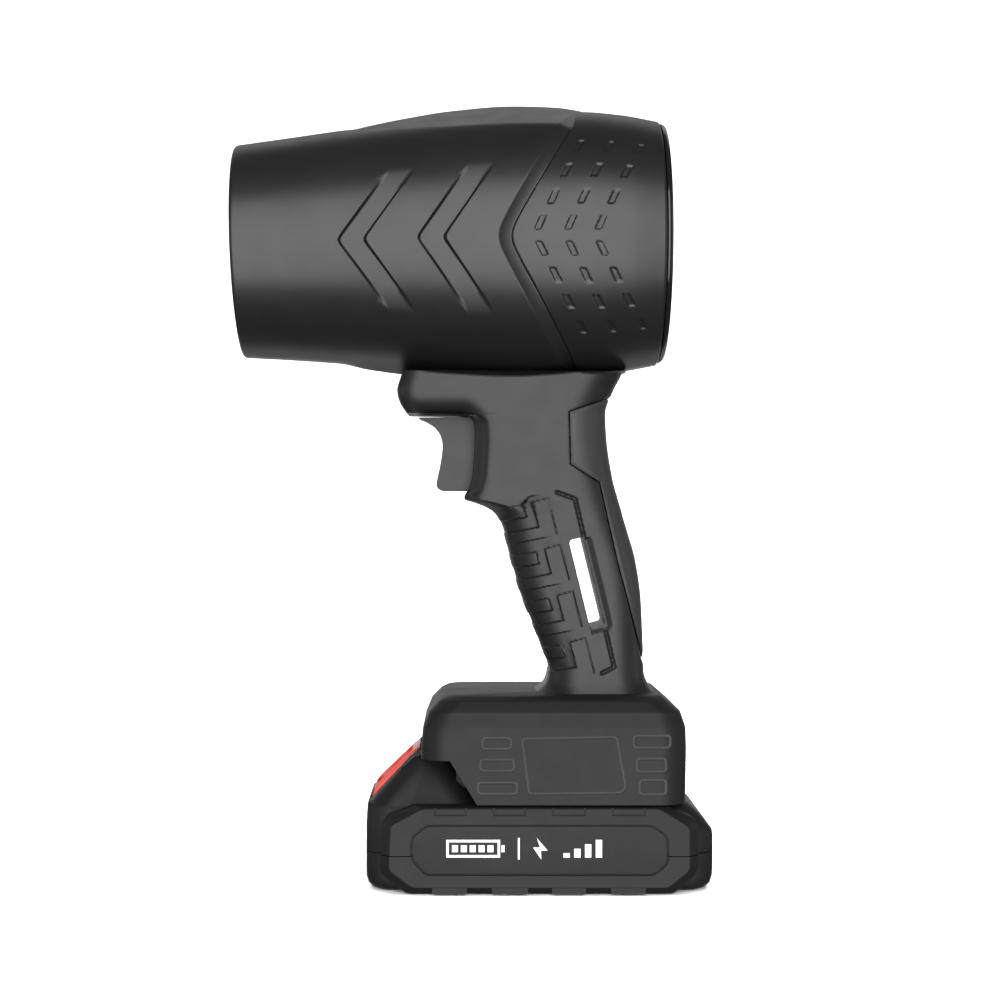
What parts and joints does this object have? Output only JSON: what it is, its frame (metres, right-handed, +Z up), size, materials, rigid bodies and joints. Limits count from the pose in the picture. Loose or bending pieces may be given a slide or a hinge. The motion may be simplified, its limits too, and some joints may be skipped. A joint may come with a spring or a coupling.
{
  "type": "leaf blower",
  "caption": "Cordless pistol-grip jet blower: round ducted-fan barrel with chevrons and dimpled rear shroud, trigger handle, foot and a slide-on battery with a red latch.",
  "frame": {"origin": "middle of the underside of the whole object's box, on the battery's flat bottom", "axes": "+Z up, outlet points to -X, +Y is the tool's right side, symmetric about Y = 0"},
  "size_m": [0.1558, 0.0872, 0.2561],
  "materials": {
    "case_plastic": "fine moulded texture, satin",
    "gloss_black": "polished",
    "dark_plastic": "fine moulded texture",
    "fan_plastic": "glass-filled nylon, satin",
    "grip_rubber": "soft overmould, matte",
    "steel": "satin",
    "copper": "enamelled wire",
    "aluminium": "machined",
    "magnet": "plated magnet",
    "brass": "stamped",
    "board": "solder mask",
    "cell_wrap": "shrink wrap",
    "lead_blue": "wire jacket",
    "lead_yellow": "wire jacket",
    "lead_green": "wire jacket",
    "lead_red": "wire jacket",
    "lead_black": "wire jacket",
    "latch_red": "satin red"
  },
  "bodies": {
    "housing": {"front_shell": "case_plastic", "rear_shroud": "case_plastic", "handle_left": "case_plastic", "handle_right": "case_plastic", "intake_ring": "gloss_black", "intake_grille": "dark_plastic", "switch_body": "dark_plastic", "terminal_block": "dark_plastic", "capacitor": "dark_plastic", "stator_duct": "fan_plastic", "tail_cone": "fan_plastic", "palm_grip": "grip_rubber", "motor_core": "steel", "front_bearing": "steel", "rear_bearing": "steel", "trigger_spring": "steel", "handle_screw_1": "steel", "handle_screw_2": "steel", "handle_screw_3": "steel", "handle_screw_4": "steel", "handle_screw_5": "steel", "motor_windings": "copper", "motor_end_plate": "aluminium", "motor_rear_plate": "aluminium", "heat_sink": "aluminium", "contact_blade_negative": "brass", "contact_blade_positive": "brass", "control_board": "board", "phase_lead_1": "lead_blue", "phase_lead_2": "lead_yellow", "phase_lead_3": "lead_green", "battery_lead_red": "lead_red", "battery_lead_black": "lead_black"},
    "rotor": {"motor_shaft": "steel", "rotor_magnet": "magnet", "impeller": "fan_plastic", "spinner_nut": "aluminium"},
    "trigger": {"trigger": "case_plastic", "switch_plunger": "dark_plastic"},
    "battery_pack": {"battery_lower_case": "case_plastic", "battery_upper_case": "case_plastic", "battery_label_left": "dark_plastic", "battery_label_right": "dark_plastic", "cell_1": "cell_wrap", "cell_2": "cell_wrap", "cell_3": "cell_wrap", "cell_4": "cell_wrap", "cell_5": "cell_wrap", "cell_strip_left": "steel", "cell_strip_right": "steel", "battery_board": "board", "battery_clip_negative": "brass", "battery_clip_positive": "brass", "battery_screw_1": "steel", "battery_screw_2": "steel", "battery_screw_3": "steel", "battery_screw_4": "steel", "latch_spring": "steel"},
    "latch": {"latch_button": "latch_red"}
  },
  "joints": [
    {"name": "fan_spin", "type": "hinge", "parent": "housing", "child": "rotor", "pos_m": [0.03, 0, 0.2098], "axis": [1, 0, 0], "continuous": true},
    {"name": "trigger_pull", "type": "slide", "parent": "housing", "child": "trigger", "axis": [1, 0, 0], "range_m": [0, 0.006], "stiffness_N_per_m": 400, "springref_m": -0.004, "deforming": ["trigger_spring"]},
    {"name": "battery_slide", "type": "slide", "parent": "housing", "child": "battery_pack", "axis": [-1, 0, 0], "range_m": [0, 0.095]},
    {"name": "latch_press", "type": "slide", "parent": "battery_pack", "child": "latch", "axis": [0, 0, -1], "range_m": [0, 0.0025], "stiffness_N_per_m": 600, "springref_m": -0.003, "deforming": ["latch_spring"]}
  ]
}
